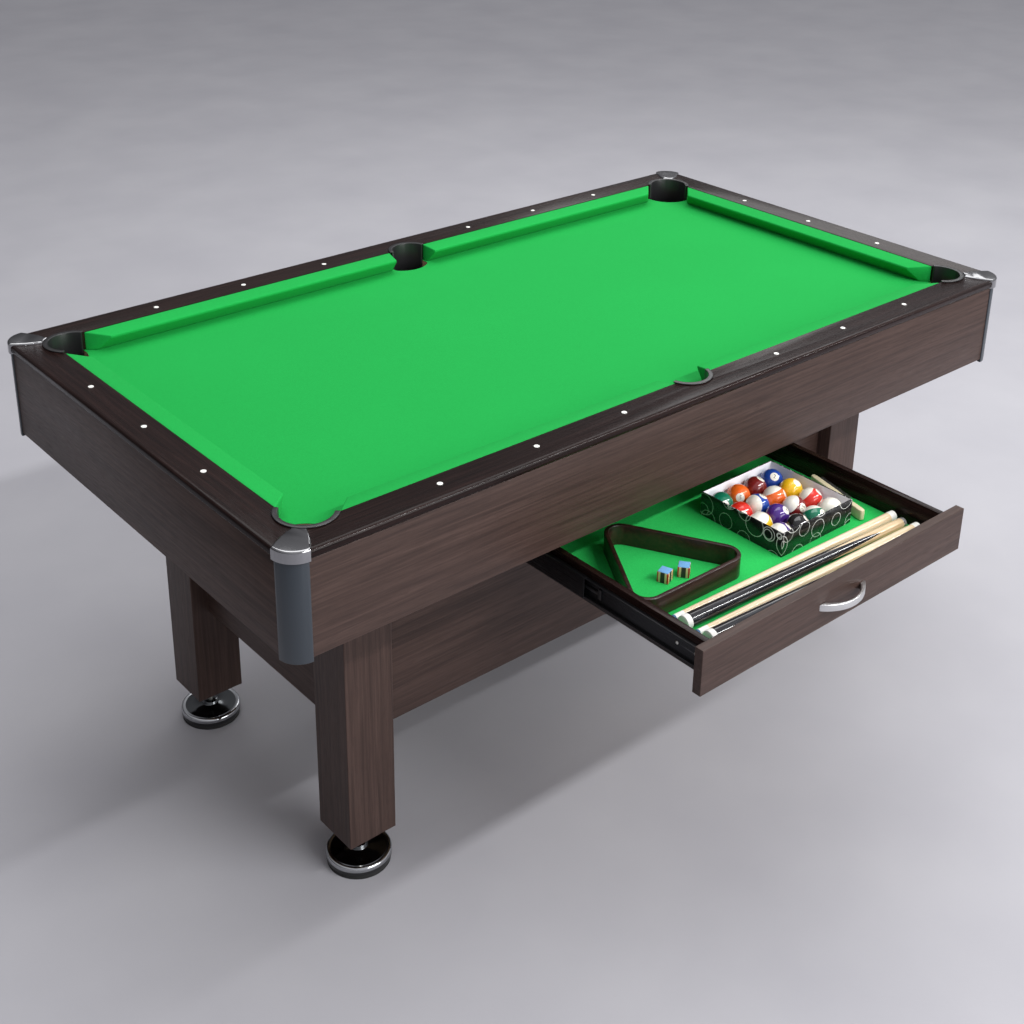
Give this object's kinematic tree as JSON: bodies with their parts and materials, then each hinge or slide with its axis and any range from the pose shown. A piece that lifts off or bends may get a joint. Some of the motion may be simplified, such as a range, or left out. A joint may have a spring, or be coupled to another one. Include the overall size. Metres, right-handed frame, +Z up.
{
  "type": "pool table",
  "caption": "Home pool table with drop pockets, square legs on levelling feet, a panelled base and a full-extension drawer holding balls, rack, chalk, brush and cues.",
  "frame": {"origin": "centre of the bounding box on the floor, with the drawer pulled out", "axes": "+X along the table, -Y towards the drawer side, +Z up"},
  "size_m": [1.856, 1.376, 0.873],
  "materials": {
    "wood_laminate": "satin dark brown wood-grain laminate",
    "raw_board": "plain particle board",
    "green_cloth": "napped woven cloth",
    "black_plastic": "moulded, slightly satin",
    "white_plastic": "smooth",
    "chrome_trim": "polished",
    "slate_trim": "satin dark grey",
    "zinc_screw": "zinc plated",
    "slide_steel": "black painted sheet steel",
    "satin_handle": "satin nickel",
    "box_card": "printed card, glossy outside",
    "ball_resin": "polished resin",
    "rack_wood": "dark stained",
    "chalk": "pressed chalk in a printed paper wrap",
    "cream_plastic": "smooth",
    "bristle": "dense dark bristle",
    "maple": "clear lacquered",
    "black_lacquer": "glossy black lacquer",
    "chrome_foot": "polished",
    "rubber_pad": "matte"
  },
  "bodies": {
    "table": {"apron_front": "wood_laminate", "apron_left": "wood_laminate", "apron_rear": "wood_laminate", "apron_right": "wood_laminate", "bed_cloth": "green_cloth", "bed_panel": "raw_board", "bed_ribs": "raw_board", "cabinet_bottom": "raw_board", "corner_caps": "chrome_trim", "corner_columns": "slate_trim", "corner_pocket_liners": "black_plastic", "cushion_front_left": "green_cloth", "cushion_front_right": "green_cloth", "cushion_rear_left": "green_cloth", "cushion_rear_right": "green_cloth", "end_cushions": "green_cloth", "leg_front_left": "wood_laminate", "leg_front_right": "wood_laminate", "leg_rear_left": "wood_laminate", "leg_rear_right": "wood_laminate", "lower_panel_front": "wood_laminate", "lower_panel_left": "wood_laminate", "lower_panel_rear": "wood_laminate", "lower_panel_right": "wood_laminate", "pocket_cups": "black_plastic", "rail_front": "wood_laminate", "rail_left": "wood_laminate", "rail_rear": "wood_laminate", "rail_right": "wood_laminate", "rail_sights": "white_plastic", "side_pocket_liners": "black_plastic", "slide_bearers": "raw_board", "slide_outer_members": "slide_steel"},
    "drawer": {"drawer_front": "wood_laminate", "drawer_side_left": "wood_laminate", "drawer_side_right": "wood_laminate", "drawer_back": "wood_laminate", "drawer_bottom": "raw_board", "drawer_lining": "green_cloth", "drawer_handle": "satin_handle", "slide_inner_members": "slide_steel", "slide_screws": "zinc_screw", "slide_release_levers": "black_plastic", "ball_box": "box_card", "balls": "ball_resin", "triangle_rack": "rack_wood", "chalk_cubes": "chalk", "brush_handle": "cream_plastic", "brush_bristles": "bristle", "cue_shafts": "maple", "cue_butts": "black_lacquer"},
    "slide_middle": {"slide_middle_members": "slide_steel"},
    "leveller_front_left": {"foot_front_left": "chrome_foot", "foot_pad_front_left": "rubber_pad"},
    "leveller_front_right": {"foot_front_right": "chrome_foot", "foot_pad_front_right": "rubber_pad"},
    "leveller_rear_left": {"foot_rear_left": "chrome_foot", "foot_pad_rear_left": "rubber_pad"},
    "leveller_rear_right": {"foot_rear_right": "chrome_foot", "foot_pad_rear_right": "rubber_pad"}
  },
  "joints": [
    {"name": "drawer_slide", "type": "slide", "parent": "table", "child": "drawer", "axis": [0, -1, 0], "range_m": [-0.5145, 0]},
    {"name": "slide_middle_travel", "type": "slide", "parent": "table", "child": "slide_middle", "axis": [0, -1, 0], "range_m": [-0.25725, 0]},
    {"name": "leveller_turn_front_left", "type": "hinge", "parent": "table", "child": "leveller_front_left", "pos_m": [-0.662, -0.109, 0.09], "axis": [0, 0, 1], "continuous": true},
    {"name": "leveller_turn_front_right", "type": "hinge", "parent": "table", "child": "leveller_front_right", "pos_m": [0.662, -0.109, 0.09], "axis": [0, 0, 1], "continuous": true},
    {"name": "leveller_turn_rear_left", "type": "hinge", "parent": "table", "child": "leveller_rear_left", "pos_m": [-0.662, 0.449, 0.09], "axis": [0, 0, 1], "continuous": true},
    {"name": "leveller_turn_rear_right", "type": "hinge", "parent": "table", "child": "leveller_rear_right", "pos_m": [0.662, 0.449, 0.09], "axis": [0, 0, 1], "continuous": true}
  ],
  "couplings": [
    {"joint": "slide_middle_travel", "follows": "drawer_slide", "ratio": 0.5}
  ]
}
